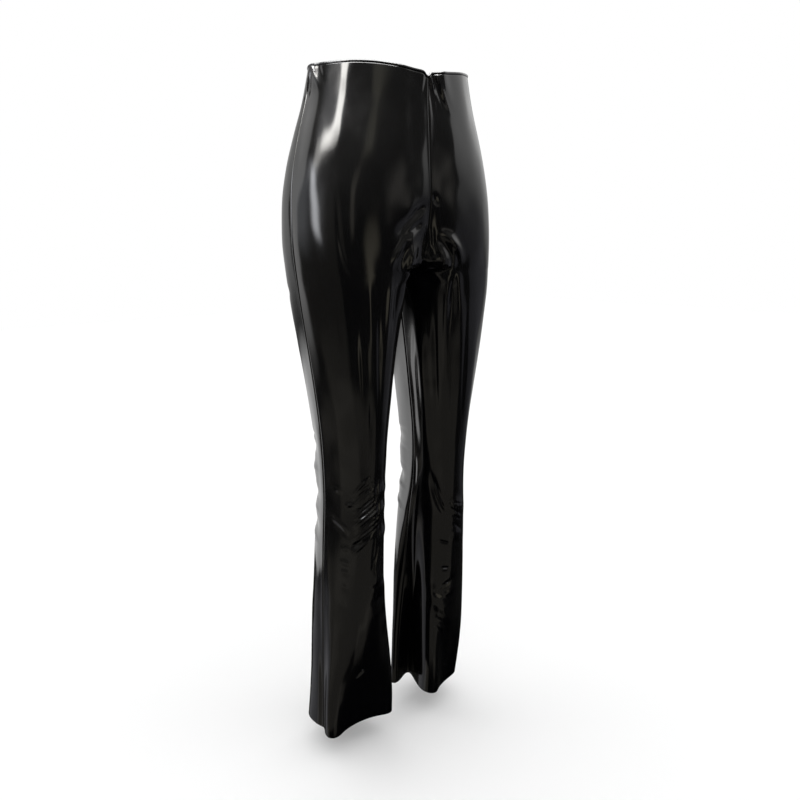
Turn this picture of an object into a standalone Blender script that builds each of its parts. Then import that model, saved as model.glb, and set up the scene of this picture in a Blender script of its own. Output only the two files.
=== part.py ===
"""High-waisted flared trousers of black patent faux leather, hollow and open as if worn.

X is the wearer's left, Y the wearer's back and Z up. The origin is the middle of the waist
opening, where the wearer holds the trousers up. Sizes are in metres.

Four panels, two fronts and two backs, meet at the outseams, the inseams and the centre seams,
and a narrow rolled edge closes the waist. Every panel is a wall through level sections of the
body and the legs, and the largest folds are soft troughs and ridges laid along that form.
"""

import math
from collections import namedtuple

import bmesh
import bpy
import numpy as np

WALL = 0.0016  # the coated cloth with its turned allowances
SEAM_GAP = 0.0003  # between neighbouring pieces
ROLL_TALL = 0.0045  # rolled waist edge
ROLL_WIDE = 0.0040
ROLL_SIDES = 8
CROTCH = -0.300  # height of the lowest point of the centre seams
SADDLE = 0.008  # radius by which the two legs flow into each other at the crotch
CENTRE_DIP = 0.010  # the waist edge is lower at the front
CENTRE_DIP_REACH = 0.075
NICK = 0.0035  # and has a small nick at the front seam
NICK_REACH = 0.008
TORSO_ROWS = 14
CENTRE_ROW_EASE = 1.6  # rows crowd towards the bottom of the crotch curve
FRONT_COLUMNS = 17
BACK_COLUMNS = 14
ARC_STEPS = 80  # steps in which a quarter of a section is measured

# A level section of one half of the body. "side" is how far out the outseam lies and "side_y" how
# far back. "front" and "front_y" place the point of the front that stands furthest forward, "back"
# and "back_y" the one that stands furthest back. "inner" is where the inner arcs would end, which
# is past the centre plane on the body and beside it on a leg, and "square" tells a round section,
# 2, from a boxy one, 3.
Section = namedtuple("Section", "height side side_y front front_y back back_y inner inner_y square")
SECTIONS = (
    Section(0.00, 0.136, 0.015, 0.034, -0.089, 0.026, 0.077, -0.300, 0.012, 2.0),
    Section(-0.05, 0.147, 0.016, 0.042, -0.090, 0.038, 0.083, -0.250, 0.011, 2.0),
    Section(-0.10, 0.163, 0.015, 0.050, -0.093, 0.050, 0.094, -0.190, 0.010, 2.0),
    Section(-0.15, 0.176, 0.012, 0.056, -0.096, 0.064, 0.105, -0.120, 0.009, 2.0),
    Section(-0.20, 0.183, 0.009, 0.062, -0.097, 0.080, 0.113, -0.060, 0.008, 2.0),
    Section(-0.25, 0.184, 0.008, 0.069, -0.096, 0.090, 0.115, -0.020, 0.007, 2.0),
    Section(-0.30, 0.181, 0.006, 0.078, -0.093, 0.093, 0.110, 0.008, 0.006, 2.0),
    Section(-0.33, 0.178, 0.005, 0.082, -0.091, 0.093, 0.106, 0.014, 0.005, 2.0),
    Section(-0.40, 0.168, 0.005, 0.086, -0.085, 0.092, 0.098, 0.023, 0.004, 2.0),
    Section(-0.50, 0.152, 0.008, 0.088, -0.075, 0.090, 0.086, 0.034, 0.003, 2.0),
    Section(-0.58, 0.141, 0.014, 0.088, -0.066, 0.092, 0.078, 0.043, 0.004, 2.0),
    Section(-0.66, 0.137, 0.018, 0.088, -0.061, 0.097, 0.077, 0.047, 0.010, 2.0),
    Section(-0.76, 0.141, 0.021, 0.089, -0.057, 0.102, 0.082, 0.046, 0.028, 2.1),
    Section(-0.88, 0.146, 0.022, 0.091, -0.046, 0.105, 0.090, 0.041, 0.044, 2.4),
    Section(-1.00, 0.152, 0.022, 0.093, -0.027, 0.104, 0.097, 0.032, 0.055, 3.2),
    Section(-1.07, 0.155, 0.022, 0.094, -0.013, 0.103, 0.103, 0.027, 0.060, 4.0),
)

# The left leg stands a little further back and is turned outward, in degrees.
Pose = namedtuple("Pose", "height back turn")
LEFT_POSE = (
    Pose(-0.33, 0.000, 0.0),
    Pose(-0.50, 0.004, 2.0),
    Pose(-0.66, 0.009, 5.0),
    Pose(-0.85, 0.012, 11.0),
    Pose(-1.07, 0.010, 19.0),
)

# Rows of a leg, from one height to the next.
Stretch = namedtuple("Stretch", "bottom rows")
LEG_ROWS = (Stretch(-0.50, 7), Stretch(-0.72, 14), Stretch(-0.95, 8), Stretch(-1.07, 6))


def column(rows, name, height):
    """A column of a table at any height, on a smooth curve that never overshoots its rows."""
    depth = -np.array([row.height for row in rows])
    value = np.array([getattr(row, name) for row in rows])
    step = np.diff(depth)
    rate = np.diff(value) / step
    slope = np.zeros(len(depth))
    slope[0], slope[-1] = rate[0], rate[-1]
    for k in range(1, len(depth) - 1):
        if rate[k - 1] * rate[k] > 0:
            near = 2 * step[k] + step[k - 1]
            far = step[k] + 2 * step[k - 1]
            slope[k] = (near + far) / (near / rate[k - 1] + far / rate[k])
    at = np.clip(-np.asarray(height, float), depth[0], depth[-1])
    k = np.clip(np.searchsorted(depth, at) - 1, 0, len(step) - 1)
    t = (at - depth[k]) / step[k]
    rise = (3 - 2 * t) * t * t
    early = t * (1 - t) ** 2 * step[k] * slope[k]
    late = t * t * (t - 1) * step[k] * slope[k + 1]
    return value[k] + (value[k + 1] - value[k]) * rise + early + late


def smooth(t):
    t = np.clip(t, 0, 1)
    return (3 - 2 * t) * t * t


def rim(half, height, turn):
    """A point of a section, as its distance from the centre plane and its Y. Turn 0 is the outseam,
    1 the fullest point of that half, and 2 the centre seam or the inseam."""
    side, side_y = column(SECTIONS, "side", height), column(SECTIONS, "side_y", height)
    full, full_y = column(SECTIONS, half, height), column(SECTIONS, half + "_y", height)
    inner, inner_y = column(SECTIONS, "inner", height), column(SECTIONS, "inner_y", height)
    bend = 2 / column(SECTIONS, "square", height)
    reach = np.clip((full - SADDLE) / (full - inner), 0, 1)
    outer_angle = smooth(turn) * math.pi / 2
    inner_angle = smooth(turn - 1) * np.arcsin(reach ** (1 / bend))
    across = np.where(
        turn <= 1,
        full + (side - full) * np.cos(outer_angle) ** bend,
        full - (full - inner) * np.sin(inner_angle) ** bend,
    )
    y = np.where(
        turn <= 1,
        side_y + (full_y - side_y) * np.sin(outer_angle) ** bend,
        inner_y + (full_y - inner_y) * np.cos(inner_angle) ** bend,
    )
    return np.sqrt(np.maximum(across**2 - SADDLE**2, 0)), y


def by_share(half, height, share):
    """A point of a section by its share of the cloth's way from the outseam to the inner seam, and
    the length of that way."""
    turns = np.linspace(0, 2, 2 * ARC_STEPS + 1)
    across, y = rim(half, height[:, None], turns[None, :])
    steps = np.hypot(np.diff(across), np.diff(y))
    way = np.concatenate([np.zeros((len(height), 1)), np.cumsum(steps, axis=1)], axis=1)
    target = share * way[:, -1]
    row = np.arange(len(height))
    k = np.clip((way < target[:, None]).sum(axis=1) - 1, 0, len(turns) - 2)
    part = (target - way[row, k]) / np.maximum(steps[row, k], 1e-12)
    across = across[row, k] + (across[row, k + 1] - across[row, k]) * part
    y = y[row, k] + (y[row, k + 1] - y[row, k]) * part
    return across, y, way[:, -1]


def form(leg, around, height):
    """Points of the unfolded form. "around" runs from 0 at the outseam over the front to 1 at the
    centre seam or inseam, and over the back to 2 at the outseam again."""
    around = np.mod(around, 2)
    share = np.where(around <= 1, around, 2 - around)
    front, front_y, _ = by_share("front", height, share)
    back, back_y, _ = by_share("back", height, share)
    across = np.where(around <= 1, front, back)
    y = np.where(around <= 1, front_y, back_y)
    if leg == "left":
        axis_x = column(SECTIONS, "front", height)
        axis_y = (column(SECTIONS, "front_y", height) + column(SECTIONS, "back_y", height)) / 2
        turned = np.radians(column(LEFT_POSE, "turn", height))
        out, behind = across - axis_x, y - axis_y
        across = axis_x + out * np.cos(turned) - behind * np.sin(turned)
        y = axis_y + out * np.sin(turned) + behind * np.cos(turned)
        y = y + column(LEFT_POSE, "back", height)
    x = across if leg == "left" else -across
    return np.stack([x, y, height], axis=1)


# The largest folds. Each runs from one point of the form to another, bowed sideways by "bow". It
# stands out by "depth", or sinks in where that is negative, is "width" from its middle to where it
# has fallen to a third, and is deepest at "peak", a share of its length.
Fold = namedtuple("Fold", "leg around height to_around to_height bow depth width peak")
BODY_FOLDS = (
    Fold("right", 0.03, -0.004, 0.07, -0.045, 0.000, 0.0045, 0.011, 0.0),
    Fold("left", 0.06, -0.004, 0.02, -0.050, 0.000, 0.0035, 0.010, 0.0),
    Fold("left", 0.88, -0.006, 0.77, -0.070, 0.003, 0.0035, 0.011, 0.1),
    Fold("left", 0.94, -0.006, 0.99, -0.070, 0.000, -0.0030, 0.011, 0.1),
    Fold("right", 0.98, -0.262, 0.53, -0.330, -0.008, 0.0040, 0.012, 0.3),
    Fold("right", 0.95, -0.235, 0.62, -0.262, -0.006, -0.0030, 0.011, 0.3),
    Fold("left", 0.97, -0.236, 0.58, -0.334, 0.012, 0.0045, 0.013, 0.5),
    Fold("left", 0.58, -0.330, 0.56, -0.520, 0.000, 0.0035, 0.014, 0.2),
    Fold("left", 0.98, -0.270, 0.66, -0.345, 0.006, -0.0035, 0.010, 0.3),
    Fold("right", 1.28, -0.318, 1.72, -0.336, 0.012, -0.0050, 0.013, 0.5),
    Fold("right", 1.18, -0.348, 1.60, -0.376, 0.010, -0.0035, 0.012, 0.4),
    Fold("left", 1.30, -0.324, 1.70, -0.338, 0.012, -0.0050, 0.013, 0.5),
    Fold("left", 1.16, -0.356, 1.56, -0.384, 0.010, -0.0035, 0.012, 0.4),
    Fold("left", 1.06, -0.006, 1.16, -0.075, 0.000, 0.0030, 0.010, 0.1),
)
KNEE_FOLDS = (
    Fold("right", 0.84, -0.640, 0.34, -0.664, -0.006, 0.0040, 0.010, 0.3),
    Fold("right", 0.82, -0.668, 0.20, -0.708, -0.008, 0.0042, 0.010, 0.4),
    Fold("right", 0.84, -0.700, 0.42, -0.748, -0.006, 0.0038, 0.010, 0.4),
    Fold("right", 0.08, -0.635, 0.30, -0.705, 0.004, -0.0030, 0.010, 0.5),
    Fold("right", 1.97, -0.585, 1.40, -0.600, -0.010, -0.0050, 0.010, 0.3),
    Fold("right", 1.97, -0.625, 1.30, -0.632, -0.008, 0.0045, 0.011, 0.3),
    Fold("right", 1.96, -0.672, 1.35, -0.662, -0.008, -0.0055, 0.011, 0.3),
    Fold("right", 1.97, -0.735, 1.50, -0.700, -0.008, -0.0045, 0.012, 0.4),
    Fold("left", 0.82, -0.636, 0.62, -0.724, -0.008, -0.0045, 0.010, 0.5),
    Fold("left", 0.64, -0.700, 0.34, -0.728, -0.004, 0.0035, 0.009, 0.3),
    Fold("left", 0.05, -0.560, 0.03, -0.800, 0.000, -0.0050, 0.022, 0.5),
    Fold("left", 0.62, -0.756, 0.36, -0.784, -0.004, 0.0030, 0.009, 0.3),
    Fold("left", 1.10, -0.600, 1.66, -0.612, 0.010, -0.0030, 0.012, 0.3),
    Fold("left", 1.34, -0.632, 1.78, -0.640, 0.008, 0.0040, 0.012, 0.5),
    Fold("left", 1.12, -0.676, 1.64, -0.664, 0.008, -0.0050, 0.011, 0.3),
)
HEM_FOLDS = (
    Fold("right", 0.13, -0.860, 0.13, -1.070, 0.000, 0.0150, 0.013, 1.0),
    Fold("right", 0.72, -0.740, 0.68, -1.070, 0.000, 0.0150, 0.014, 1.0),
    Fold("right", 0.00, -0.800, 0.00, -1.070, 0.000, -0.0035, 0.011, 1.0),
    Fold("right", 0.41, -0.940, 0.41, -1.070, 0.000, -0.0095, 0.036, 1.0),
    Fold("right", 0.96, -0.880, 0.94, -1.070, 0.000, -0.0090, 0.024, 1.0),
    Fold("right", 1.66, -0.840, 1.66, -1.070, 0.000, -0.0070, 0.026, 1.0),
    Fold("right", 1.38, -0.860, 1.36, -1.070, 0.000, -0.0060, 0.026, 1.0),
    Fold("right", 0.44, -0.774, 0.68, -0.860, 0.006, 0.0030, 0.012, 0.4),
    Fold("left", 0.95, -0.690, 0.86, -1.070, 0.000, -0.0500, 0.022, 1.0),
    Fold("left", 1.28, -0.780, 1.24, -1.070, 0.000, -0.0170, 0.036, 1.0),
    Fold("left", 0.70, -0.780, 0.64, -1.070, 0.000, 0.0080, 0.014, 1.0),
    Fold("left", 0.10, -0.800, 0.12, -1.070, 0.000, -0.0070, 0.020, 1.0),
    Fold("left", 0.44, -0.900, 0.42, -1.070, 0.000, -0.0040, 0.030, 1.0),
    Fold("left", 1.56, -0.820, 1.54, -1.070, 0.000, -0.0070, 0.024, 1.0),
    Fold("left", 0.71, -0.846, 0.46, -0.951, 0.006, 0.0035, 0.012, 0.4),
)
FOLDS = BODY_FOLDS + KNEE_FOLDS + HEM_FOLDS
FOLD_STEPS = 8
HALF_GIRTH = 0.20  # turns a share of the way round into a length, for a fold's bow


def fold_path(fold):
    """The points of a fold's middle line on the form."""
    t = np.linspace(0, 1, FOLD_STEPS + 1)
    run = (fold.to_around - fold.around) * HALF_GIRTH
    fall = fold.to_height - fold.height
    length = math.hypot(run, fall)
    bowed = fold.bow * 4 * t * (1 - t)
    around = fold.around + (run * t - bowed * fall / length) / HALF_GIRTH
    height = fold.height + fall * t + bowed * run / length
    return form(fold.leg, around, height)


def fold_lift(fold, points):
    """How far a fold moves each point of its leg out of the form."""
    path = fold_path(fold)
    nearest = np.full(len(points), np.inf)
    place = np.zeros(len(points))
    for k in range(FOLD_STEPS):
        piece = path[k + 1] - path[k]
        t = np.clip((points - path[k]) @ piece / (piece @ piece), 0, 1)
        apart = np.linalg.norm(points - path[k] - t[:, None] * piece, axis=1)
        closer = apart < nearest
        nearest = np.where(closer, apart, nearest)
        place = np.where(closer, (k + t) / FOLD_STEPS, place)
    span = np.where(place < fold.peak, fold.peak, 1 - fold.peak + 1e-9)
    share = smooth(1 - np.abs(place - fold.peak) / span)
    return fold.depth * share * np.exp(-((nearest / fold.width) ** 2))


def waist_edge(half, share):
    """Height of the panels' top edge, which the rolled edge lies on."""
    edge = -ROLL_TALL - SEAM_GAP
    if half == "back":
        return np.full(share.shape, edge)
    from_seam = (1 - share) * HALF_GIRTH
    dip = CENTRE_DIP * np.exp(-((from_seam / CENTRE_DIP_REACH) ** 2))
    return edge - dip - NICK * np.exp(-((from_seam / NICK_REACH) ** 2))


def row_heights(half, share):
    """Heights of the rows at each share of the way: level on the legs, and on the body following
    the curve of the centre seam down to the crotch."""
    top = waist_edge(half, share)
    rows = []
    for t in np.linspace(0, 1, TORSO_ROWS + 1):
        outer = top + (CROTCH - top) * t
        inner = top + (CROTCH - top) * (1 - (1 - t) ** CENTRE_ROW_EASE)
        rows.append(outer + (inner - outer) * share**2)
    start = CROTCH
    for stretch in LEG_ROWS:
        for k in range(stretch.rows):
            level = start + (stretch.bottom - start) * (k + 1) / stretch.rows
            rows.append(np.full(share.shape, level))
        start = stretch.bottom
    return np.array(rows)


def half_grid(half, columns):
    """Places (around, height) of one panel's rows and columns, clear of its seams by half a gap."""
    share = np.linspace(0, 1, columns + 1)
    if half == "back":
        share = share[::-1]
    height = row_heights(half, share)
    way = by_share(half, height.ravel(), np.ones(height.size))[2].reshape(height.shape)
    trim = SEAM_GAP / 2 / way
    share = trim + (1 - 2 * trim) * share
    around = share if half == "front" else 2 - share
    return around, height


def grid_normals(leg, points):
    """Outward normals of a leg's whole grid, from each point's neighbours. Columns run once round
    the leg. On the body the centre seams end it, and the other side is taken as its mirror image."""
    before = np.roll(points, 1, axis=1)
    after = np.roll(points, -1, axis=1)
    mirror = np.array([-1.0, 1.0, 1.0])
    last = FRONT_COLUMNS
    body = slice(0, TORSO_ROWS + 1)
    after[body, last] = points[body, last - 1] * mirror
    before[body, last + 1] = points[body, last + 2] * mirror
    # Across a seam the nearest column is only the gap away, so the next one is the neighbour.
    legs = slice(TORSO_ROWS + 1, None)
    after[legs, last] = points[legs, last + 2]
    before[legs, last + 1] = points[legs, last - 1]
    after[:, -1] = points[:, 1]
    before[:, 0] = points[:, -2]
    above = np.concatenate([points[:1], points[:-1]])
    below = np.concatenate([points[1:], points[-1:]])
    normals = np.cross(after - before, below - above)
    if leg == "right":
        normals = -normals
    # The two sides of a seam share one normal, which on the body's centre seams lies in the plane
    # between the legs, and both ends of a panel are cut level.
    for first, second, rows in ((last, last + 1, legs), (-1, 0, slice(None))):
        shared = normals[rows, first] + normals[rows, second]
        normals[rows, first] = shared
        normals[rows, second] = shared
    normals[body, last : last + 2, 0] = 0
    normals[TORSO_ROWS, last : last + 2] = (0, 0, -1)
    normals[0, :, 2] = 0
    normals[-1, :, 2] = 0
    return normals / np.linalg.norm(normals, axis=2, keepdims=True)


def leg_grid(leg):
    """The folded outer points of one leg and its side of the body, and their normals."""
    front_around, front_height = half_grid("front", FRONT_COLUMNS)
    back_around, back_height = half_grid("back", BACK_COLUMNS)
    around = np.concatenate([front_around, back_around], axis=1)
    height = np.concatenate([front_height, back_height], axis=1)
    flat = form(leg, around.ravel(), height.ravel())
    smooth_form = flat.reshape(around.shape + (3,))
    lift = sum(fold_lift(fold, flat) for fold in FOLDS if fold.leg == leg)
    lift = lift.reshape(around.shape)
    points = smooth_form + lift[:, :, None] * grid_normals(leg, smooth_form)
    points[0, :, 2] = height[0]
    points[-1, :, 2] = height[-1]
    centre = slice(FRONT_COLUMNS, FRONT_COLUMNS + 2)
    points[: TORSO_ROWS + 1, centre, 0] = math.copysign(SEAM_GAP / 2, points[0, 0, 0])
    return points, grid_normals(leg, points)


def patent(name, shade):
    """Black faux leather with a glossy lacquered coat."""
    material = bpy.data.materials.new(name)
    material.use_nodes = True
    surface = material.node_tree.nodes["Principled BSDF"]
    surface.inputs["Base Color"].default_value = (shade, shade, shade, 1)
    surface.inputs["Metallic"].default_value = 0.0
    surface.inputs["Roughness"].default_value = 0.12
    surface.inputs["Coat Weight"].default_value = 1.0
    return material


def add_mesh(name, points, faces, material):
    mesh = bpy.data.meshes.new(name)
    shape = bmesh.new()
    corners = [shape.verts.new(point) for point in points]
    for face in faces:
        shape.faces.new([corners[k] for k in face])
    shape.to_mesh(mesh)
    shape.free()
    mesh.shade_smooth()
    mesh.materials.append(material)
    piece = bpy.data.objects.new(name, mesh)
    bpy.context.collection.objects.link(piece)
    return piece


def add_panel(name, points, normals, flip, material):
    """A panel's wall: its outer points, the same points a wall's thickness in, and the four edges."""
    rows, columns = points.shape[:2]
    inside = points - WALL * normals
    corners = np.concatenate([points.reshape(-1, 3), inside.reshape(-1, 3)])
    outer = np.arange(rows * columns).reshape(rows, columns)
    inner = outer + rows * columns
    faces = []
    for i in range(rows - 1):
        for j in range(columns - 1):
            faces.append((outer[i, j], outer[i, j + 1], outer[i + 1, j + 1], outer[i + 1, j]))
            faces.append((inner[i, j], inner[i + 1, j], inner[i + 1, j + 1], inner[i, j + 1]))
    for i in range(rows - 1):
        faces.append((outer[i, 0], outer[i + 1, 0], inner[i + 1, 0], inner[i, 0]))
        faces.append((outer[i + 1, -1], outer[i, -1], inner[i, -1], inner[i + 1, -1]))
    for j in range(columns - 1):
        faces.append((outer[0, j + 1], outer[0, j], inner[0, j], inner[0, j + 1]))
        faces.append((outer[-1, j], outer[-1, j + 1], inner[-1, j + 1], inner[-1, j]))
    if flip:
        faces = [face[::-1] for face in faces]
    return add_mesh(name, corners, faces, material)


def waist_ring(grids):
    """Middle points of the wall along the panels' top edges, once round, and their level normals."""
    stations = []
    for leg, columns in (
        ("right", slice(0, FRONT_COLUMNS + 1)),
        ("left", slice(FRONT_COLUMNS, None, -1)),
        ("left", slice(None, FRONT_COLUMNS, -1)),
        ("right", slice(FRONT_COLUMNS + 1, None)),
    ):
        points, normals = grids[leg]
        middle = points[0, columns] - WALL / 2 * normals[0, columns]
        stations.extend(zip(middle, normals[0, columns]))
    return stations


def add_waist_roll(grids, material):
    """The turned waist edge, one narrow roll along the tops of the four panels."""
    stations = waist_ring(grids)
    ring = []
    for k, (point, normal) in enumerate(stations):
        following = stations[(k + 1) % len(stations)]
        previous = stations[k - 1]
        if np.linalg.norm(point - previous[0]) < 2 * SEAM_GAP:
            continue
        if np.linalg.norm(point - following[0]) < 2 * SEAM_GAP:
            point = (point + following[0]) / 2
            normal = normal + following[1]
        ring.append((point, normal / np.linalg.norm(normal)))
    points = []
    for point, normal in ring:
        middle = point + np.array([0, 0, SEAM_GAP + ROLL_TALL / 2])
        for k in range(ROLL_SIDES):
            angle = 2 * math.pi * (k + 0.5) / ROLL_SIDES
            reach = 1 / math.cos(math.pi / ROLL_SIDES)
            out = ROLL_WIDE / 2 * reach * math.cos(angle)
            up = ROLL_TALL / 2 * reach * math.sin(angle)
            points.append(middle + out * normal + np.array([0, 0, up]))
    faces = []
    for i in range(len(ring)):
        after = (i + 1) % len(ring)
        for k in range(ROLL_SIDES):
            side = (k + 1) % ROLL_SIDES
            faces.append(
                (
                    i * ROLL_SIDES + k,
                    after * ROLL_SIDES + k,
                    after * ROLL_SIDES + side,
                    i * ROLL_SIDES + side,
                )
            )
    return add_mesh("waist_roll", points, faces, material)


def main():
    for old in list(bpy.data.objects):
        bpy.data.objects.remove(old)
    front = patent("Patent faux leather, fronts", 0.012)
    back = patent("Patent faux leather, backs", 0.014)
    edge = patent("Patent faux leather, turned edge", 0.016)
    grids = {leg: leg_grid(leg) for leg in ("left", "right")}
    for leg, (points, normals) in grids.items():
        fronts, backs = slice(0, FRONT_COLUMNS + 1), slice(FRONT_COLUMNS + 1, None)
        flip = leg == "right"
        add_panel("front_" + leg, points[:, fronts], normals[:, fronts], flip, front)
        add_panel("back_" + leg, points[:, backs], normals[:, backs], flip, back)
    add_waist_roll(grids, edge)


if __name__ == "__main__":
    main()
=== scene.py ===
"""The looks of the flared trousers: black patent faux leather, hollow and open as if worn.

X is the wearer's left, Y the wearer's back and Z up, in metres, with the origin in the middle of
the waist opening. Four fine shells of coated cloth follow the form of the four panels, with their
seams, creases and turned edges. A rolled edge closes the waist, and overlock stitches run along
the seams inside.

"around" places a point on a leg and its side of the body: 0 is the outseam, 1 the centre front
seam or the inseam, and 2 the outseam again, by way of the back.
"""

import math
from collections import namedtuple

import bpy
import numpy as np
from mathutils import Matrix


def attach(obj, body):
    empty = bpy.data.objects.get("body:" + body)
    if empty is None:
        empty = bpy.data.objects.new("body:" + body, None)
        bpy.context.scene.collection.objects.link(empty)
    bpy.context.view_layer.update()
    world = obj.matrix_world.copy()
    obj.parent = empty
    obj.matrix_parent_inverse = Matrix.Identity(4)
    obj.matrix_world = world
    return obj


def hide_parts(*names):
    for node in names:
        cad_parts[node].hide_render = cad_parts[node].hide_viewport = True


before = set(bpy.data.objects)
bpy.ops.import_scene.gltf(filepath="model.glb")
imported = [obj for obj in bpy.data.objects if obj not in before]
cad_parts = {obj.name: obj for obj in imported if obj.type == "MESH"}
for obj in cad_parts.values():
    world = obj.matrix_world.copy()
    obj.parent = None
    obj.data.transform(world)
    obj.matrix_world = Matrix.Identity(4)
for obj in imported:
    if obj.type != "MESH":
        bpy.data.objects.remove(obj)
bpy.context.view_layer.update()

MM = 0.001
PER_METRE = 1000  # of the tables' millimetres
TINY = 1e-9  # keeps a divisor from being 0
WHITE = (1, 1, 1, 1)

# ---- the form, as the panels have it

CROTCH = -0.300
HEM = -1.070
SADDLE = 0.008  # radius by which the two legs flow into each other at the crotch
CENTRE_DIP = 0.010  # the waist edge is lower at the front
CENTRE_DIP_REACH = 0.075
NICK = 0.0060  # and has a small nick at the front seam
NICK_REACH = 0.006
HALF_GIRTH = 0.20  # turns a share of the way round into a length
ROLL_TALL = 0.0045  # rolled waist edge
ROLL_WIDE = 0.0040

Section = namedtuple("Section", "height side side_y front front_y back back_y inner inner_y square")
SECTIONS = [
    Section(*(value / PER_METRE for value in row[:-1]), row[-1])
    for row in (  # in millimetres, but for "square"
        (0, 136, 15, 34, -89, 26, 77, -300, 12, 2),
        (-50, 147, 16, 42, -90, 38, 83, -250, 11, 2),
        (-100, 163, 15, 50, -93, 50, 94, -190, 10, 2),
        (-150, 176, 12, 56, -96, 64, 105, -120, 9, 2),
        (-200, 183, 9, 62, -97, 80, 113, -60, 8, 2),
        (-250, 184, 8, 69, -96, 90, 115, -20, 7, 2),
        (-300, 181, 6, 78, -93, 93, 110, 8, 6, 2),
        (-330, 178, 5, 82, -91, 93, 106, 14, 5, 2),
        (-400, 168, 5, 86, -85, 92, 98, 23, 4, 2),
        (-500, 152, 8, 88, -75, 90, 86, 34, 3, 2),
        (-580, 141, 14, 88, -66, 92, 78, 43, 4, 2),
        (-660, 137, 18, 88, -61, 97, 77, 47, 10, 2),
        (-760, 141, 21, 89, -57, 102, 82, 46, 28, 2.1),
        (-880, 146, 22, 91, -46, 105, 90, 41, 44, 2.4),
        (-1000, 152, 22, 93, -27, 104, 97, 32, 55, 3.2),
        (-1070, 155, 22, 94, -13, 103, 103, 27, 60, 4),
    )
]

# The left leg stands a little further back and is turned outward, in degrees.
Pose = namedtuple("Pose", "height back turn")
LEFT_POSE = (
    Pose(-0.33, 0.000, 0.0),
    Pose(-0.50, 0.004, 2.0),
    Pose(-0.66, 0.009, 5.0),
    Pose(-0.85, 0.012, 11.0),
    Pose(-1.07, 0.010, 19.0),
)

BLUR_TAIL = 3  # widths past which a blur has no weight
TABLE_END = 0.001  # keeps the last point of a table inside its last cell
LEVEL_STEP = 0.002  # between the levels at which the form is tabled
TURN_STEPS = 400
SHARE_STEPS = 300
EASE_HEIGHT = 0.012  # how far the tabled form is eased along and round the legs, so that
EASE_ROUND = 0.008  # reflections run on without a kink
EASE_START = 3 * EASE_ROUND  # from a seam, by which the easing round is whole


def smooth(t):
    t = np.clip(t, 0, 1)
    return (3 - 2 * t) * t * t


def column(rows, name, height):
    """A column of a table at any height, on a smooth curve that never overshoots its rows."""
    depth = -np.array([row.height for row in rows])
    value = np.array([getattr(row, name) for row in rows])
    step = np.diff(depth)
    rate = np.diff(value) / step
    slope = np.zeros(len(depth))
    slope[0], slope[-1] = rate[0], rate[-1]
    for k in range(1, len(depth) - 1):
        if rate[k - 1] * rate[k] > 0:
            near = 2 * step[k] + step[k - 1]
            far = step[k] + 2 * step[k - 1]
            slope[k] = (near + far) / (near / rate[k - 1] + far / rate[k])
    at = np.clip(-np.asarray(height, float), depth[0], depth[-1])
    k = np.clip(np.searchsorted(depth, at) - 1, 0, len(step) - 1)
    t = (at - depth[k]) / step[k]
    rise = (3 - 2 * t) * t * t
    early = t * (1 - t) ** 2 * step[k] * slope[k]
    late = t * t * (t - 1) * step[k] * slope[k + 1]
    return value[k] + (value[k + 1] - value[k]) * rise + early + late


def eased(values, cells, axis=0):
    """The values blurred along an axis over so many cells, with both ends kept."""
    reach = int(BLUR_TAIL * cells) + 1
    weight = np.exp(-0.5 * (np.arange(-reach, reach + 1) / cells) ** 2)
    weight /= weight.sum()
    pads = [(0, 0)] * values.ndim
    pads[axis] = (reach, reach)
    padded = np.pad(values, pads, mode="reflect", reflect_type="odd")
    return np.apply_along_axis(np.convolve, axis, padded, weight, mode="valid")


LEVELS = np.arange(0, HEM - LEVEL_STEP, -LEVEL_STEP)
EASED = {
    name: eased(column(SECTIONS, name, LEVELS), EASE_HEIGHT / LEVEL_STEP)
    for name in Section._fields[1:]
}
EASED_POSE = {
    name: eased(column(LEFT_POSE, name, LEVELS), EASE_HEIGHT / LEVEL_STEP)
    for name in Pose._fields[1:]
}


def resample(way, values, at):
    """Rows of values along their own ways, read at new places of each row."""
    return np.array([np.interp(a, w, v) for a, w, v in zip(at, way, values)])


def way_along(x, y):
    steps = np.hypot(np.diff(x), np.diff(y))
    return np.concatenate([np.zeros((len(x), 1)), np.cumsum(steps, axis=1)], axis=1)


def section_table(half):
    """Distance from the centre plane, Y, and length of the way round, of one half at every level,
    evenly spaced from the outseam to the inner seam."""
    turn = np.linspace(0, 2, TURN_STEPS + 1)[None, :]
    side, side_y, full, full_y, inner, inner_y, square = (
        EASED[name][:, None]
        for name in ("side", "side_y", half, half + "_y", "inner", "inner_y", "square")
    )
    bend = 2 / square
    reach = np.clip((full - SADDLE) / (full - inner), 0, 1)
    outer_angle = smooth(turn) * math.pi / 2
    inner_angle = smooth(turn - 1) * np.arcsin(reach ** (1 / bend))
    outer = turn <= 1
    across = np.where(
        outer,
        full + (side - full) * np.cos(outer_angle) ** bend,
        full - (full - inner) * np.sin(inner_angle) ** bend,
    )
    y = np.where(
        outer,
        side_y + (full_y - side_y) * np.sin(outer_angle) ** bend,
        inner_y + (full_y - inner_y) * np.cos(inner_angle) ** bend,
    )
    way = way_along(across, y)
    even = np.linspace(0, 1, SHARE_STEPS + 1)[None, :] * way[:, -1:]
    across, y = resample(way, across, even), resample(way, y, even)
    cells = EASE_ROUND / (HALF_GIRTH / SHARE_STEPS)
    from_end = np.minimum(even, way[:, -1:] - even)
    weight = smooth(from_end / EASE_START)
    across = across + weight * (eased(across, cells, 1) - across)
    y = y + weight * (eased(y, cells, 1) - y)
    across = np.sqrt(np.maximum(across**2 - SADDLE**2, 0))
    way = way_along(across, y)
    even = np.linspace(0, 1, SHARE_STEPS + 1)[None, :] * way[:, -1:]
    return resample(way, across, even), resample(way, y, even), way[:, -1]


TABLES = {half: section_table(half) for half in ("front", "back")}


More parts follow.
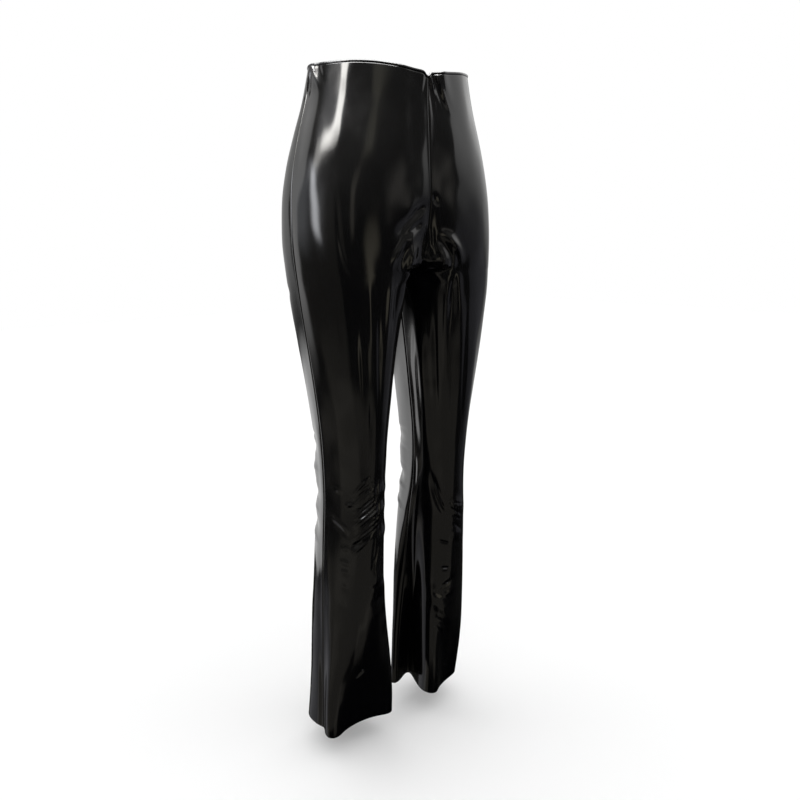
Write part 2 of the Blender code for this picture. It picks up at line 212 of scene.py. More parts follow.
def at_level(values, height):
    """A list with one value for each level, read at any height."""
    return np.interp(-height, -LEVELS, values)


def at_place(table, share, height):
    """A table read at any share of the way and any height."""
    row = np.clip(-height / LEVEL_STEP, 0, len(LEVELS) - 1 - TABLE_END)
    cell = np.clip(share * SHARE_STEPS, 0, SHARE_STEPS - TABLE_END)
    i, j = row.astype(int), cell.astype(int)
    u, v = row - i, cell - j
    upper = table[i, j] * (1 - v) + table[i, j + 1] * v
    lower = table[i + 1, j] * (1 - v) + table[i + 1, j + 1] * v
    return upper * (1 - u) + lower * u


def form(leg, around, height):
    """Points of the unfolded form."""
    around = np.mod(around, 2)
    share = np.where(around <= 1, around, 2 - around)
    on_front = around <= 1
    across, y = (
        np.where(
            on_front,
            at_place(TABLES["front"][k], share, height),
            at_place(TABLES["back"][k], share, height),
        )
        for k in (0, 1)
    )
    if leg == "left":
        axis_x = at_level(EASED["front"], height)
        axis_y = at_level((EASED["front_y"] + EASED["back_y"]) / 2, height)
        turned = np.radians(at_level(EASED_POSE["turn"], height))
        out, behind = across - axis_x, y - axis_y
        across = axis_x + out * np.cos(turned) - behind * np.sin(turned)
        y = axis_y + out * np.sin(turned) + behind * np.cos(turned)
        y = y + at_level(EASED_POSE["back"], height)
    x = across if leg == "left" else -across
    return np.stack([x, y, height], axis=-1)


# ---- folds

# Each fold runs from one point of the form to another, bowed sideways by "bow". It stands out by
# "depth", or sinks in where that is negative, is "width" from its middle to where it has fallen to
# a third, and is deepest at "peak", a share of its length.
Fold = namedtuple("Fold", "around down to_around to_down bow depth width peak")


def folds(rows):
    """Folds from rows in millimetres, and in thousandths of the way round and of the length."""
    return [Fold(*(value / PER_METRE for value in row)) for row in rows]


RIGHT_FOLDS = (
    # Broad folds of the body, and under the seat
    (30, 4, 70, 45, 0, 4.5, 11, 0),
    (940, 258, 530, 330, -6, 2.4, 12, 400),
    (950, 220, 620, 256, -4, -2, 11, 400),
    (1280, 318, 1720, 336, 12, -5, 13, 500),
    (1180, 348, 1600, 376, 10, -3.5, 12, 400),
    # Folds in front of the knee and behind it
    (760, 640, 400, 664, -6, 2.2, 9, 400),
    (760, 668, 280, 708, -8, 2.4, 9, 400),
    (760, 700, 440, 748, -6, 2.2, 9, 400),
    (1930, 585, 1400, 600, -10, -3, 10, 300),
    (1940, 625, 1300, 632, -8, 2.8, 11, 300),
    (1930, 672, 1350, 662, -8, -3.4, 11, 300),
    (1920, 735, 1500, 700, -8, -3, 12, 400),
    # Soft wrinkles towards the outseam, at the front of the knee and down the shin
    (133, 640, 233, 645, 0, 0.6, 4, 400),
    (242, 667, 342, 662, 0, 1.6, 2.8, 400),
    (75, 688, 300, 712, 2, 1.4, 4, 400),
    (108, 698, 283, 723, 2, -1.4, 3.6, 500),
    (192, 738, 300, 739, 0, 0.6, 4.2, 400),
    (290, 740, 390, 721, 1, -2.4, 3.4, 500),
    (180, 759, 287, 766, 0, 0.5, 4.4, 500),
    (185, 777, 285, 781, 0, 0.5, 4.4, 500),
    (185, 799, 275, 811, 0, 0.6, 4.4, 500),
    (165, 826, 268, 848, 1, 0.7, 4.4, 500),
    # Steep ones beside the shin, and the flat facet between them
    (567, 600, 475, 680, 2, -1.8, 2.2, 500),
    (583, 625, 483, 714, 2, -2, 2.4, 500),
    (600, 660, 467, 757, 3, -2, 2.4, 500),
    (558, 710, 442, 782, 2, -2.2, 2.6, 500),
    (500, 714, 450, 787, 0, -2, 2.4, 400),
    (520, 755, 450, 826, 0, 2.2, 4.5, 500),
    (625, 787, 417, 811, 2, -1.8, 3, 500),
    (633, 824, 417, 834, 2, -2, 3.2, 500),
    (642, 844, 433, 859, 2, 1.6, 3, 500),
    # Waves of the hem
    (130, 860, 130, 1070, 0, 15, 13, 1000),
    (720, 740, 680, 1070, 0, 15, 14, 1000),
    (0, 800, 0, 1070, 0, -3.5, 11, 1000),
    (410, 940, 410, 1070, 0, -9.5, 36, 1000),
    (960, 880, 940, 1070, 0, -9, 24, 1000),
    (1660, 840, 1660, 1070, 0, -7, 26, 1000),
    (1380, 860, 1360, 1070, 0, -6, 26, 1000),
    (440, 774, 680, 860, 6, 3, 12, 400),
    # Pinches of the waist edge, at the seams
    (985, 12, 930, 50, 2, -1, 2.6, 100),
    (20, 2, 145, 42, 1, 2.2, 2.6, 100),
    (12, 2, -60, 62, 1, 2, 2.6, 100),
    (16, 4, 24, 56, 0, -3, 4, 100),
    (85, 2, 190, 36, 0, -1, 3.4, 100),
    (1080, 3, 1150, 55, 1, 1.2, 3, 100),
    # The star of creases where the thigh leaves the body, at the front
    (992, 196, 690, 252, -2, -5.2, 6.8, 350),
    (970, 224, 720, 256, -1, -3, 5, 400),
    (800, 246, 560, 302, -2, 3.8, 3.8, 450),
    (835, 262, 610, 330, -2, 3, 3.2, 450),
    (548, 300, 545, 470, 0, 2.6, 4.2, 200),
    (610, 310, 600, 420, 0, -2.4, 4.2, 200),
    (820, 255, 590, 316, -2, -2.4, 2.6, 450),
    (985, 222, 880, 286, 0, 1.3, 2.4, 400),
    (990, 226, 940, 292, 0, 1.3, 2.2, 400),
    # A long fine crease down the hip
    (330, 165, 335, 370, 1, -0.8, 3.2, 500),
    # Finer creases under the seat
    (1120, 300, 1500, 338, 6, -2.6, 7, 400),
    (1200, 332, 1620, 352, 8, 2.2, 6.5, 400),
    (1100, 372, 1420, 402, 5, -1.6, 6, 300),
    (1900, 330, 1620, 322, 4, -1.4, 7, 400),
    (1020, 215, 1200, 250, 2, -1.2, 7, 300),
    # Long pulls down the thigh
    (620, 330, 560, 560, 4, 1.1, 11, 300),
    (500, 300, 470, 600, 2, -1, 12, 400),
    (740, 360, 660, 620, 3, -1, 9, 400),
    (360, 330, 415, 600, 1, -2, 4.4, 400),
    (470, 310, 525, 580, 1, -1.8, 3.6, 400),
    (330, 300, 345, 420, 0, -1.2, 4, 500),
    (250, 300, 262, 450, 0, -0.9, 3.6, 500),
    (420, 300, 448, 440, 0, 1, 4, 400),
    (440, 470, 470, 590, 0, -1.6, 3.4, 400),
)
LEFT_FOLDS = (
    # Broad folds of the body, and under the seat
    (60, 4, 20, 50, 0, 3.5, 10, 0),
    (880, 6, 770, 70, 3, 3.5, 11, 100),
    (940, 6, 990, 70, 0, -3, 11, 100),
    (940, 236, 580, 330, 10, 2.4, 13, 500),
    (580, 330, 580, 520, 0, 2, 14, 200),
    (940, 268, 660, 345, 4, -2.2, 10, 400),
    (1300, 324, 1700, 338, 12, -5, 13, 500),
    (1160, 356, 1560, 384, 10, -3.5, 12, 400),
    (1060, 6, 1160, 75, 0, 3, 10, 100),
    # Folds in front of the knee and behind it
    (820, 636, 620, 724, 4, -2.2, 7, 500),
    (640, 700, 340, 728, -4, 2, 9, 300),
    (50, 560, 30, 800, 0, -5, 22, 500),
    (620, 756, 360, 784, -4, 1.6, 9, 300),
    (1100, 600, 1660, 612, 10, -3, 12, 300),
    (1340, 632, 1780, 640, 8, 4, 12, 500),
    (1120, 676, 1640, 664, 8, -5, 11, 300),
    # The arc of two sharp creases over the knee, the net of wrinkles beside it, and below
    (812, 640, 625, 720, 4, -2, 2.1, 600),
    (786, 650, 615, 714, 4, 1.2, 1.8, 600),
    (800, 660, 640, 728, 4, -1.2, 1.7, 600),
    (680, 771, 560, 779, 1, -1.1, 2, 500),
    (650, 826, 540, 828, 0, -2, 2.2, 500),
    (670, 868, 450, 838, 2, -2.4, 3.4, 500),
    (660, 884, 440, 858, 2, 2, 3.6, 500),
    (620, 908, 470, 884, 0, 1, 2.2, 500),
    (580, 916, 480, 940, 0, 0.9, 2, 500),
    (930, 640, 890, 930, 2, 1.4, 2.4, 500),
    (975, 610, 960, 700, 0, -1.6, 3, 400),
    # Waves of the hem
    (950, 690, 860, 1070, 0, -50, 22, 1000),
    (1280, 780, 1240, 1070, 0, -17, 36, 1000),
    (700, 780, 640, 1070, 0, 8, 14, 1000),
    (100, 800, 120, 1070, 0, -7, 20, 1000),
    (440, 900, 420, 1070, 0, -4, 30, 1000),
    (1560, 820, 1540, 1070, 0, -7, 24, 1000),
    (710, 846, 460, 951, 6, 3.5, 12, 400),
    # Pinches of the waist edge, at the seams
    (985, 12, 875, 70, 1, 1.6, 2.2, 100),
    (930, 10, 767, 78, 2, 1.8, 2.6, 100),
    (965, 12, 930, 80, 0, 1.4, 2.2, 100),
    (950, 10, 830, 74, 1, -1.8, 2.8, 100),
    (990, 14, 958, 82, 0, -1.8, 2.4, 100),
    (40, 2, 100, 46, 1, 1.4, 3.4, 100),
    (75, 2, 130, 34, 0, -1, 3, 100),
    (1970, 2, 1930, 40, 0, 1, 3.4, 100),
    (1040, 3, 1020, 60, 0, -1.4, 3.2, 100),
    # The star of creases where the thigh leaves the body, at the front
    (985, 186, 930, 206, 0, -2.2, 4, 400),
    (975, 236, 615, 304, -9, 5.6, 6.6, 500),
    (612, 294, 594, 450, 0, 3.8, 6, 150),
    (650, 314, 655, 410, 0, -3, 5, 150),
    (960, 247, 650, 322, -6, -6.2, 5.8, 500),
    (940, 262, 700, 326, -4, 3.6, 3.6, 500),
    (700, 318, 680, 520, 0, 3, 4.4, 150),
    (975, 250, 900, 286, 0, -1.4, 3, 400),
    (990, 226, 960, 292, 0, 1.4, 2.2, 400),
    (985, 228, 910, 288, 0, -1.2, 2.4, 400),
    # The thigh's inner front stands out to an edge
    (870, 290, 870, 720, 0, 6, 13, 400),
    # Finer creases under the seat
    (1140, 306, 1480, 334, 6, -2.4, 7, 400),
    (1180, 340, 1660, 360, 8, 2.2, 6.5, 400),
    (1120, 380, 1400, 412, 5, -1.6, 6, 300),
    (1880, 336, 1600, 328, 4, -1.4, 7, 400),
    (1020, 222, 1220, 262, 2, -1.2, 7, 300),
    # Long pulls down the thigh
    (660, 350, 600, 600, 3, -1, 10, 400),
    (440, 340, 440, 610, 2, 0.9, 11, 400),
    (780, 370, 720, 600, 3, 0.9, 8, 400),
    (775, 330, 740, 600, 0, -1.8, 4, 400),
    (560, 300, 530, 600, 0, -1.4, 4, 400),
    (625, 400, 645, 640, 0, -1.4, 3.6, 500),
    (890, 400, 890, 600, 0, -2, 5.5, 400),
)


# At the front the cloth spans the hollow between the thighs, down to just above the crotch.
Span = namedtuple("Span", "height forward")


def spans(*rows):
    return [Span(height / PER_METRE, forward / PER_METRE) for height, forward in rows]


CROTCH_SPAN = spans(
    (-80, 0), (-120, 0), (-200, 6), (-250, 15), (-275, 29), (-290, 40), (-296, 36), (-300, 0)
)
CROTCH_SPAN_REACH = 0.020

# Beside it the pull of the crotch runs on down each thigh as a soft rise.
THIGH_SPAN = spans((-170, 0), (-240, 4), (-290, 11), (-330, 10), (-400, 4), (-480, 0))
THIGH_SPAN_AT = 0.030  # out from the saddle between the legs
THIGH_SPAN_REACH = 0.015
THIGH_SPAN_EASE = 0.030  # from a seam, by which it is whole

# The bottom of the deep fold down the left inseam is pushed sideways where it is deepest.
TUCK = Fold(0.95, 0.690, 0.87, 1.070, 0.000, 1.0, 0.029, 1.0)
TUCK_PUSH = np.array([-0.006, 0.030, 0])

# A fan of creases spreads from one fold to another, each a little off its even place.
Fan = namedtuple("Fan", "count first last seed")
RIGHT_FANS = (
    # The star of creases over the knee: ridges, and the troughs between them
    Fan(12, (480, 618, 308, 652, -2, 1.4, 1.9, 350), (590, 690, 300, 730, -2, 1.5, 1.9, 350), 3),
    Fan(12, (500, 621, 320, 656, -2, -2, 1.9, 350), (600, 694, 310, 734, -2, -2.1, 1.9, 350), 5),
    Fan(5, (300, 676, 500, 668, 1, -1, 1.8, 400), (290, 744, 520, 712, 1, 1.2, 2, 400), 9),
    # Crumples by the front of the hem
    Fan(6, (300, 972, 430, 952, 1, -2, 3, 400), (330, 1036, 470, 1020, 1, 2, 3.2, 400), 31),
    # Behind the knee
    Fan(
        6, (1930, 560, 1300, 585, -8, -1.8, 4.4, 300), (1930, 742, 1300, 715, -8, 1.8, 4.8, 300), 21
    ),
)
LEFT_FANS = (
    # The net of wrinkles at the knee
    Fan(4, (620, 700, 440, 716, -1, -1.3, 1.9, 400), (590, 734, 430, 762, -1, -1.1, 1.9, 400), 11),
    Fan(4, (590, 700, 480, 748, 0, 1.1, 1.8, 400), (510, 698, 450, 752, 0, 1, 1.8, 400), 12),
    # Crumples low on the shin
    Fan(5, (690, 866, 560, 884, 1, -2.4, 3, 400), (650, 926, 540, 952, 1, 2.2, 3, 400), 32),
    # Behind the knee
    Fan(6, (1060, 586, 1700, 600, 8, -2, 4.4, 300), (1060, 730, 1660, 712, 8, 2.2, 4.8, 300), 22),
)
FAN_STRAY = 0.35  # of the step between two creases
FAN_DEPTHS = (0.6, 1.25)  # of a crease's even depth
FOLD_STEPS = 16
FOLD_REACH = 3.2  # widths past which a fold has faded out


def fan_folds(fan):
    stray = np.random.default_rng(fan.seed)
    first, last = folds((fan.first, fan.last))
    made = []
    for k in range(fan.count):
        t = k / (fan.count - 1)
        values = []
        for start, end in zip(first, last):
            step = (end - start) / (fan.count - 1)
            values.append(start + (end - start) * t + FAN_STRAY * step * stray.uniform(-1, 1))
        fold = Fold(*values)
        made.append(fold._replace(depth=fold.depth * stray.uniform(*FAN_DEPTHS)))
    return made


def all_folds(rows, fans):
    return folds(rows) + [fold for fan in fans for fold in fan_folds(fan)]


FOLDS = {"right": all_folds(RIGHT_FOLDS, RIGHT_FANS), "left": all_folds(LEFT_FOLDS, LEFT_FANS)}


def fold_path(leg, fold):
    """The points of a fold's middle line on the form."""
    t = np.linspace(0, 1, FOLD_STEPS + 1)
    run = (fold.to_around - fold.around) * HALF_GIRTH
    fall = fold.down - fold.to_down
    length = math.hypot(run, fall)
    bowed = fold.bow * 4 * t * (1 - t)
    around = fold.around + (run * t - bowed * fall / length) / HALF_GIRTH
    height = -fold.down + fall * t + bowed * run / length
    return form(leg, around, height)


def fold_lift(leg, fold, points):
    """How far a fold moves each point of its leg out of the form."""
    path = fold_path(leg, fold)
    lift = np.zeros(len(points))
    reach = FOLD_REACH * fold.width
    close = np.all((points > path.min(0) - reach) & (points < path.max(0) + reach), axis=1)
    near_points = points[close]
    nearest = np.full(len(near_points), np.inf)
    place = np.zeros(len(near_points))
    for k in range(FOLD_STEPS):
        piece = path[k + 1] - path[k]
        t = np.clip((near_points - path[k]) @ piece / (piece @ piece), 0, 1)
        apart = np.linalg.norm(near_points - path[k] - t[:, None] * piece, axis=1)
        closer = apart < nearest
        nearest = np.where(closer, apart, nearest)
        place = np.where(closer, (k + t) / FOLD_STEPS, place)
    span = np.where(place < fold.peak, fold.peak, 1 - fold.peak + TINY)
    share = smooth(1 - np.abs(place - fold.peak) / span)
    lift[close] = fold.depth * share * np.exp(-((nearest / fold.width) ** 2))
    return lift


# ---- the cloth of a leg

WALL = 0.0012  # coated cloth
SEAM_GAP = 0.00004  # between neighbouring panels
SEAM_SINK = 0.0013  # a seam's line lies a little in, between two rounded lips
SEAM_SINK_REACH = 0.0011
SEAM_RIDGE = 0.0005  # while the allowances under it lift the cloth on both sides
SEAM_RIDGE_REACH = 0.004
SEAM_RIDGE_START = 0.03  # below the waist, by which these ridges are whole
ALLOWANCE = 0.010  # pressed apart inside the seams
ALLOWANCE_THICK = 0.0008
ALLOWANCE_STEP = 0.001  # in which the thickness changes at its edge
HEM_ALLOWANCE = 0.022  # turned up inside the hems
EDGE_STEPS = 5  # round the turned edge of a hem
SEAM_COLUMNS = (0, 0.0005, 0.0011, 0.0018, 0.0026, 0.0036, 0.0049, 0.0065, 0.0083)
FRONT_COLUMNS = 136
BACK_COLUMNS = 100
BODY_ROWS = 100
CENTRE_ROW_EASE = 1.6  # rows crowd towards the bottom of the crotch curve
Stretch = namedtuple("Stretch", "bottom rows")
LEG_ROWS = (Stretch(-0.56, 60), Stretch(-0.78, 184), Stretch(-1.04, 72), Stretch(HEM, 12))
Ripple = namedtuple("Ripple", "height_of around_of lift count seed")
RIPPLES = (
    # Slack along the legs, long in height and narrow round, as stretched coated cloth shows
    Ripple(0.40, 0.060, 0.00022, 9, 41),
    Ripple(0.16, 0.100, 0.00012, 9, 42),
    Ripple(0.07, 0.050, 0.00005, 11, 43),
)
RIPPLE_ROUND = (0.6, 1.6)  # of a wave's even number round the leg
RIPPLE_TALL = (0.7, 1.8)  # of its even length
RIPPLE_EASE = 0.012  # from a seam, by which the slack is whole


def spread(columns):
    """Shares of the way across a panel, closer together by its two seams."""
    by_seam = np.array(SEAM_COLUMNS) / HALF_GIRTH
    middle = np.linspace(by_seam[-1], 1 - by_seam[-1], columns - 2 * len(by_seam) + 3)
    return np.concatenate([by_seam[:-1], middle, 1 - by_seam[-2::-1]])


def waist_edge(half, share):
    """Height of the cloth's top edge, inside the rolled edge."""
    edge = -ROLL_TALL / 2
    if half == "back":
        return np.full(share.shape, edge)
    from_seam = (1 - share) * HALF_GIRTH
    dip = CENTRE_DIP * np.exp(-((from_seam / CENTRE_DIP_REACH) ** 2))
    return edge - dip - NICK * np.exp(-((from_seam / NICK_REACH) ** 2))


def row_heights(half, share):
    """Heights of the rows at each share of the way: level on the legs, and on the body following
    the curve of the centre seam down to the crotch."""
    top = waist_edge(half, share)
    rows = []
    for t in np.linspace(0, 1, BODY_ROWS + 1):
        outer = top + (CROTCH - top) * t
        inner = top + (CROTCH - top) * (1 - (1 - t) ** CENTRE_ROW_EASE)
        rows.append(outer + (inner - outer) * share**2)
    start = CROTCH
    for stretch in LEG_ROWS:
        for k in range(stretch.rows):
            level = start + (stretch.bottom - start) * (k + 1) / stretch.rows
            rows.append(np.full(share.shape, level))
        start = stretch.bottom
    return np.array(rows)


def half_grid(half):
    """Places (around, height) of a panel's rows and columns, clear of its seams by half a gap."""
    share = spread(FRONT_COLUMNS if half == "front" else BACK_COLUMNS)
    if half == "back":
        share = share[::-1]
    height = row_heights(half, share)
    trim = SEAM_GAP / 2 / at_level(TABLES[half][2], height)
    share = trim + (1 - 2 * trim) * share
    return (share if half == "front" else 2 - share), height


def grid_normals(leg, points, last):
    """Outward normals of a leg's whole grid, from each point's neighbours. Columns run once round
    the leg, "last" is the front's last one, and on the body the centre seams end the two panels."""
    before = np.roll(points, 1, axis=1)
    after = np.roll(points, -1, axis=1)
    mirror = np.array([-1.0, 1.0, 1.0])
    body = slice(0, BODY_ROWS + 1)
    legs = slice(BODY_ROWS + 1, None)
    after[body, last] = points[body, last - 1] * mirror
    before[body, last + 1] = points[body, last + 2] * mirror
    after[legs, last] = points[legs, last + 2]
    before[legs, last + 1] = points[legs, last - 1]
    after[:, -1] = points[:, 1]
    before[:, 0] = points[:, -2]
    above = np.concatenate([points[:1], points[:-1]])
    below = np.concatenate([points[1:], points[-1:]])
    normals = np.cross(after - before, below - above)
    if leg == "right":
        normals = -normals
    for first, second, rows in ((last, last + 1, legs), (-1, 0, slice(None))):
        shared = normals[rows, first] + normals[rows, second]
        normals[rows, first] = shared
        normals[rows, second] = shared
    normals[body, last : last + 2, 0] = 0
    normals[BODY_ROWS, last : last + 2] = (0, 0, -1)
    normals[0, :, 2] = 0
    normals[-1, :, 2] = 0
    return normals / np.linalg.norm(normals, axis=2, keepdims=True)


def ripple_lift(ripple, leg, around, height):
    """Slight slack in the cloth: a sum of waves, which run on past the outseam and the inseam."""
    pick = np.random.default_rng(ripple.seed + (leg == "left"))
    lift = np.zeros(around.shape)
    for _ in range(ripple.count):
        turns = max(1, round(2 * HALF_GIRTH / ripple.around_of * pick.uniform(*RIPPLE_ROUND)))
        rise = 2 * math.pi / (ripple.height_of * pick.uniform(*RIPPLE_TALL))
        phase = pick.uniform(0, 2 * math.pi)
        lift += np.cos(math.pi * turns * around + rise * height * pick.choice((-1, 1)) + phase)
    return ripple.lift * lift / math.sqrt(ripple.count / 2)


def seam_distance(around, height):
    """Distance along the cloth to the nearest seam of the panel."""
    share = np.where(around <= 1, around, 2 - around)
    way = np.where(
        around <= 1,
        at_level(TABLES["front"][2], height),
        at_level(TABLES["back"][2], height),
    )
    return np.minimum(share, 1 - share) * way


def leg_cloth(leg):
    """The outer points of one leg and its side of the body, their normals, the thickness of the
    cloth, and the front's last column."""
    front_around, front_height = half_grid("front")
    back_around, back_height = half_grid("back")
    around = np.concatenate([front_around, back_around], axis=1)
    height = np.concatenate([front_height, back_height], axis=1)
    last = front_around.shape[1] - 1
    plain = form(leg, around, height)
    flat = plain.reshape(-1, 3)
    on_front = around <= 1
    beside = np.maximum(np.abs(plain[:, :, 0]) - SADDLE, 0)
    from_seam = seam_distance(around, height)
    moved = plain.copy()
    spanned = column(CROTCH_SPAN, "forward", height) * on_front
    moved[:, :, 1] -= spanned * np.exp(-((beside / CROTCH_SPAN_REACH) ** 2))
    risen = column(THIGH_SPAN, "forward", height) * on_front
    risen *= np.exp(-(((beside - THIGH_SPAN_AT) / THIGH_SPAN_REACH) ** 2))
    moved[:, :, 1] -= risen * smooth(from_seam / THIGH_SPAN_EASE)
    if leg == "left":
        share = fold_lift(leg, TUCK, flat).reshape(around.shape) ** 2
        moved += share[:, :, None] * TUCK_PUSH
    lift = sum(fold_lift(leg, fold, flat) for fold in FOLDS[leg]).reshape(around.shape)
    for ripple in RIPPLES:
        lift += ripple_lift(ripple, leg, around, height) * smooth(from_seam / RIPPLE_EASE)
    lift -= SEAM_SINK * np.exp(-((from_seam / SEAM_SINK_REACH) ** 2))
    lift += SEAM_RIDGE * np.exp(-from_seam / SEAM_RIDGE_REACH) * smooth(-height / SEAM_RIDGE_START)
    points = moved + lift[:, :, None] * grid_normals(leg, plain, last)
    points[0, :, 2] = height[0]
    points[-1, :, 2] = height[-1]
    centre = slice(last, last + 2)
    points[: BODY_ROWS + 1, centre, 0] = math.copysign(SEAM_GAP / 2, points[0, 0, 0])
    by_seam = smooth((ALLOWANCE - from_seam) / ALLOWANCE_STEP)
    by_hem = smooth((height[-1] + HEM_ALLOWANCE - height) / ALLOWANCE_STEP)
    thick = WALL + ALLOWANCE_THICK * np.maximum(by_seam, by_hem)
    return points, grid_normals(leg, points, last), thick, last


# ---- meshes


def new_piece(name, points, faces, material, other=None, other_from=0):
    """A smooth mesh of the points and faces. Its faces from "other_from" on have "other"."""
    mesh = bpy.data.meshes.new(name)
    mesh.from_pydata([tuple(p) for p in points], [], faces)
    mesh.materials.append(material)
    if other is not None:
        mesh.materials.append(other)
        marks = np.zeros(len(faces), np.int32)
        marks[other_from:] = 1
        mesh.polygons.foreach_set("material_index", marks)
    mesh.shade_smooth()
    mesh.update()
    piece = bpy.data.objects.new(name, mesh)
    bpy.context.scene.collection.objects.link(piece)
    return piece


def shell_faces(rows, columns):
    index = np.arange(rows * columns).reshape(rows, columns)
    corners = [index[:-1, :-1], index[:-1, 1:], index[1:, 1:], index[1:, :-1]]
    return np.stack(corners, axis=-1).reshape(-1, 4)


def cloth_panel(name, points, normals, thick, flip, outer, inner):
    """A panel: its coated face, the rounded turn of the hem, the backing inside, and its edges.
    The backing has every second row of the face."""
    rows, columns = points.shape[:2]
    inside = (points - thick[:, :, None] * normals)[::2]
    middle = (points[-1] + inside[-1]) / 2
    half = (points[-1] - inside[-1]) / 2
    turn = []
    for k in range(1, EDGE_STEPS):
        angle = math.pi * k / EDGE_STEPS
        ring = middle + half * math.cos(angle)
        ring[:, 2] -= np.linalg.norm(half, axis=1) * math.sin(angle)
        turn.append(ring)
    outside = np.concatenate([points, np.array(turn)])
    corners = np.concatenate([outside.reshape(-1, 3), inside[::-1].reshape(-1, 3)])
    turned = len(outside)
    total = turned + len(inside)
    faces = [tuple(face) for face in shell_faces(total, columns)]
    grid = np.arange(total * columns).reshape(total, columns)
    edge = []
    for k in range(0, rows - 1, 2):
        a, b, c = grid[k : k + 3]
        d, e = grid[total - 1 - k // 2], grid[total - 2 - k // 2]
        edge.append((a[0], b[0], c[0], e[0], d[0]))
        edge.append((c[-1], b[-1], a[-1], d[-1], e[-1]))
    for k in range(columns - 1):
        edge.append((grid[0, k + 1], grid[0, k], grid[-1, k], grid[-1, k + 1]))
    edge.append(tuple(grid[rows - 1 : turned + 1, 0]))
    edge.append(tuple(grid[rows - 1 : turned + 1, -1][::-1]))
    count = turned * (columns - 1)
    coated = faces[:count] + edge
    everything = coated + faces[count:]
    if flip:
        everything = [face[::-1] for face in everything]
    return new_piece(name, corners, everything, outer, inner, len(coated))


# ---- materials


def linear(code):
    """A colour written as sRGB hex, as the linear values that the nodes take."""
    parts = [int(code[k : k + 2], 16) / 255 for k in (1, 3, 5)]
    return [p / 12.92 if p <= 0.04045 else ((p + 0.055) / 1.055) ** 2.4 for p in parts] + [1]


def add_node(tree, kind, settings=(), values=(), links=()):
    """Adds a node with its settings and the values of its sockets, and links into it the sockets
    that are given, or the first outputs of nodes."""
    node = tree.nodes.new(kind)
    for name, value in dict(settings).items():
        setattr(node, name, value)
    for name, value in dict(values).items():
        node.inputs[name].default_value = value
    for name, source in dict(links).items():
        tree.links.new(getattr(source, "outputs", [source])[0], node.inputs[name])
    return node


def new_material(name):
    material = bpy.data.materials.new(name)
    material.use_nodes = True
    material.node_tree.nodes.clear()
    return material, material.node_tree


def patent_leather(name, shade):
    """Polyurethane patent on a knitted backing: cast against a mirror-smooth paper, so it is deep
    black with a wet gloss, and ripples a little where the knit under it shows through."""
    material, tree = new_material(name)
    place = add_node(tree, "ShaderNodeTexCoord").outputs["Object"]
    # The film's own unevenness, about 6 mm across and too low to see but in reflections, and the
    # fine marks of handling, which dull the gloss here and there
    peel, wear = (
        add_node(
            tree,
            "ShaderNodeTexNoise",
            values={"Scale": 1 / size, "Detail": detail, "Roughness": roughness},
            links={"Vector": place},
        )
        for size, detail, roughness in ((6 * MM, 2.0, 0.45), (45 * MM, 5.0, 0.6))
    )
    marks = {"From Min": 0.35, "From Max": 0.75, "To Min": 0.10, "To Max": 0.20}
    dull = add_node(tree, "ShaderNodeMapRange", (), marks, {"Value": wear})
    relief = {"Strength": 0.10, "Distance": 0.25 * MM}
    bump = add_node(tree, "ShaderNodeBump", (), relief, {"Height": peel})
    surface = add_node(
        tree,
        "ShaderNodeBsdfPrincipled",
        values={
            "Base Color": linear(shade),
            "Metallic": 0.0,
            "IOR": 1.50,
            "Coat Weight": 0.6,
            "Coat Roughness": 0.06,
            "Coat IOR": 1.50,
        },
        links={"Roughness": dull, "Normal": bump},
    )
    add_node(tree, "ShaderNodeOutputMaterial", links={"Surface": surface})
    return material


def yarn_with_painted_sheen(name, apart, sway, dark, light, finish, relief=0):
    """Polyester yarn, dyed black, with soft bands so far apart painted into its colour: the lighter
    bands are painted sheen on the yarn's raised crowns, the darker ones painted shade between them.
    """
    material, tree = new_material(name)
    bands = add_node(
        tree,
        "ShaderNodeTexWave",
        {"wave_type": "BANDS", "bands_direction": "DIAGONAL"},
        {"Scale": 1 / (apart * 2), "Distortion": sway, "Detail": 2.0},
        {"Vector": add_node(tree, "ShaderNodeTexCoord").outputs["Object"]},
    )
    # Painted sheen and painted shade: the bands mix the colour between its darker and lighter tone
    black_and_painted_sheen = add_node(
        tree,
        "ShaderNodeMix",
        {"data_type": "RGBA"},
        {6: linear(dark), 7: linear(light)},
        {"Factor": bands},
    )
    links = {"Base Color": black_and_painted_sheen.outputs[2]}
    if relief:
        heights = {"Strength": 0.4, "Distance": relief}
        links["Normal"] = add_node(tree, "ShaderNodeBump", (), heights, {"Height": bands})
    surface = add_node(tree, "ShaderNodeBsdfPrincipled", (), finish, links)
    add_node(tree, "ShaderNodeOutputMaterial", links={"Surface": surface})
    return material


def knit_backing(name):
    """Polyester tricot behind the coating: matt, dyed black, with fine wales along the leg, raised
    by a bump, with painted sheen on their crowns and painted shade between them in the colour. They
    are 0.5 mm apart in truth, and drawn 1.6 mm apart so that they show."""
    finish = {"Roughness": 0.85, "Sheen Weight": 0.3, "Sheen Roughness": 0.5}
    # Of the two colours, the darker is painted shade between the wales and the lighter painted
    # sheen on them
    return yarn_with_painted_sheen(name, 1.6 * MM, 1.5, "#1c1c1e", "#2c2c2f", finish, 0.3 * MM)


# ---- rolled waist edge

ROLL_SIDES = 16
# Waves of the roll's width: size, rate and start, and how far and fast the start itself sways
ROLL_WAVES = ((0.25 * MM, 0.11, 0, 0, 0), (0.15 * MM, 0.31, 1, 0, 0), (0.20 * MM, 1.9, 0, 2, 0.23))


def waist_ring(cloth):
    """Middle points of the cloth along its top edge, once round, and their level normals."""
    stations = []
    for leg, half, step in (
        ("right", "front", 1),
        ("left", "front", -1),
        ("left", "back", -1),
        ("right", "back", 1),
    ):
        points, normals, _, last = cloth[leg]
        columns = slice(0, last + 1) if half == "front" else slice(last + 1, None)
        middle = points[0, columns] - WALL / 2 * normals[0, columns]
        stations.extend(list(zip(middle, normals[0, columns]))[::step])
    return stations


